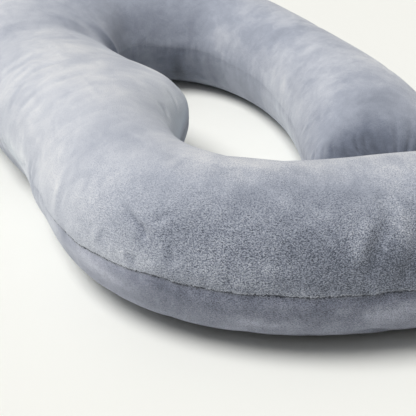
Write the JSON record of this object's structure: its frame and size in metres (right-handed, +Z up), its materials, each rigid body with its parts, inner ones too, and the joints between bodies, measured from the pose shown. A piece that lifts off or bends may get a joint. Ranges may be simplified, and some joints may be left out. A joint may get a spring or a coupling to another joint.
{
  "type": "body pillow",
  "caption": "Long stuffed velour tube pillow that curls into a head ring and ends in a leg hook, made of an upper and a lower panel sewn together at mid height.",
  "frame": {"origin": "centre of the pillow's box on the floor it lies on", "axes": "+X along the long back, from the head ring to the leg hook; +Y from the back towards the side where the arms open; +Z up"},
  "size_m": [1.4354, 0.8824, 0.1862],
  "materials": {
    "velour": "short soft pile, grey blue"
  },
  "bodies": {
    "root": {"pillow": "velour"}
  },
  "joints": []
}
